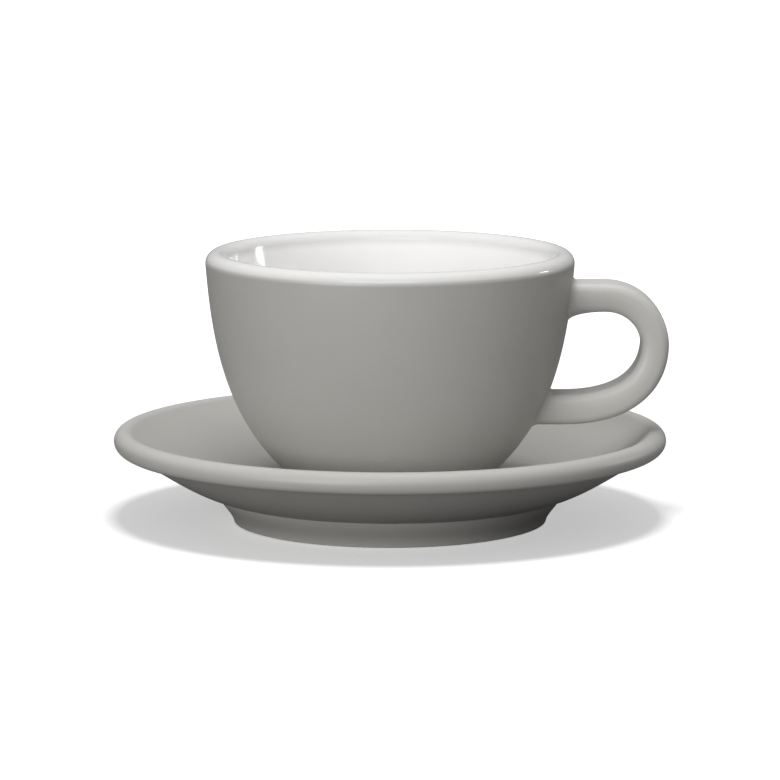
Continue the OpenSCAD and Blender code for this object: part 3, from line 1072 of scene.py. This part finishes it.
def floor_material(studio):
    """A pale floor that keeps its shadow, and is lifted to white for the camera alone."""
    material = bpy.data.materials.new("Studio floor")
    wire = emptied(material)
    seen = wire.add("ShaderNodeLightPath").outputs["Is Camera Ray"]
    room, camera = ((tone, tone, tone, 1) for tone in studio.floor_tone)
    diffuse = wire.add("ShaderNodeBsdfDiffuse", Color=wire.mix("RGBA", seen, room, camera))
    # Away from the object the floor fades into the white behind it
    place = wire.add("ShaderNodeTexCoord").outputs["Object"]
    away = wire.add("ShaderNodeVectorMath", place, settings={"operation": "LENGTH"}).outputs["Value"]
    fade = wire.add("ShaderNodeMapRange", away, *FLOOR_FADE, studio.floor_lift, 1.0)
    lift = wire.math("MULTIPLY", seen, fade.outputs["Result"])
    glow = wire.add("ShaderNodeEmission", Color=WHITE, Strength=lift)
    both = wire.add("ShaderNodeAddShader", diffuse.outputs["BSDF"], glow.outputs["Emission"])
    # From below the floor is clear, so that the underside shows
    below = wire.add("ShaderNodeNewGeometry").outputs["Backfacing"]
    clear = wire.add("ShaderNodeBsdfTransparent")
    sided = wire.add("ShaderNodeMixShader", below, both.outputs["Shader"], clear.outputs["BSDF"])
    wire.add("ShaderNodeOutputMaterial", Surface=sided.outputs["Shader"])
    return material


class CUPSET_OT_stage(bpy.types.Operator):
    """Sets up the pale floor, the room's light, the soft lamps and the camera"""

    bl_idname = "cupset.stage"
    bl_label = "Stage"

    def execute(self, context):
        scene = context.scene
        studio = scene.studio
        scene.view_settings.view_transform = "Standard"

        mesh = bpy.data.meshes.new("studio_floor")
        corners = [(x * FLOOR_HALF, y * FLOOR_HALF, 0) for x, y in ((-1, -1), (1, -1), (1, 1), (-1, 1))]
        mesh.from_pydata(corners, [], [(0, 1, 2, 3)])
        mesh.materials.append(floor_material(studio))
        floor = bpy.data.objects.new("studio_floor", mesh)
        scene.collection.objects.link(floor)

        scene.world = bpy.data.worlds.new("Studio room")
        wire = emptied(scene.world)
        seen = wire.add("ShaderNodeLightPath").outputs["Is Camera Ray"]
        strength = wire.mix("FLOAT", seen, studio.world_light, 1.0)
        sky = wire.add("ShaderNodeBackground", Color=WHITE, Strength=strength)
        wire.add("ShaderNodeOutputWorld", Surface=sky.outputs["Background"])

        floor_alone = bpy.data.collections.new("Lit by the floor lamp")
        floor_alone.objects.link(floor)
        all_but_floor = bpy.data.collections.new("Not lit by the other lamps")
        all_but_floor.objects.link(floor)
        all_but_floor.collection_objects[0].light_linking.link_state = "EXCLUDE"
        for name in LAMPS:
            lit = floor_alone if name == "floor" else all_but_floor
            place_lamp(name, getattr(studio, name + "_power"), lit)

        camera = bpy.data.cameras.new("camera")
        camera.sensor_width = CAMERA_SENSOR
        camera.lens = CAMERA_LENS
        camera.clip_end = CAMERA_REACH
        holder = bpy.data.objects.new("camera", camera)
        holder.location = CAMERA_PLACE
        holder.rotation_euler = (np.radians(90 - CAMERA_DIP), 0, 0)
        scene.collection.objects.link(holder)
        scene.camera = holder
        return {"FINISHED"}


class CUPSET_PT_panel(bpy.types.Panel):
    """Lists the steps that build the cup set"""

    bl_idname = "CUPSET_PT_panel"
    bl_label = "Cup and saucer"
    bl_space_type = "VIEW_3D"
    bl_region_type = "UI"
    bl_category = "Cup"

    def draw(self, context):
        for operator in OPERATORS:
            self.layout.operator(operator.bl_idname)


OPERATORS = (
    CUPSET_OT_saucer_body,
    CUPSET_OT_saucer_glaze,
    CUPSET_OT_cup_body,
    CUPSET_OT_cup_glazes,
    CUPSET_OT_handle,
    CUPSET_OT_stage,
)
SETTINGS = {
    "cup_sizes": CupSizes,
    "handle_sizes": HandleSizes,
    "saucer_sizes": SaucerSizes,
    "glaze_finish": GlazeFinish,
    "studio": StudioSettings,
}
CLASSES = (*SETTINGS.values(), *OPERATORS, CUPSET_PT_panel)


def register():
    for cls in CLASSES:
        bpy.utils.register_class(cls)
    for name, cls in SETTINGS.items():
        setattr(bpy.types.Scene, name, PointerProperty(type=cls))


def unregister():
    for name in SETTINGS:
        delattr(bpy.types.Scene, name)
    for cls in reversed(CLASSES):
        bpy.utils.unregister_class(cls)


def main():
    register()
    bpy.ops.cupset.saucer_body()
    bpy.ops.cupset.saucer_glaze()
    bpy.ops.cupset.cup_body()
    bpy.ops.cupset.cup_glazes()
    bpy.ops.cupset.handle()
    bpy.ops.cupset.stage()


if __name__ == "__main__":
    main()
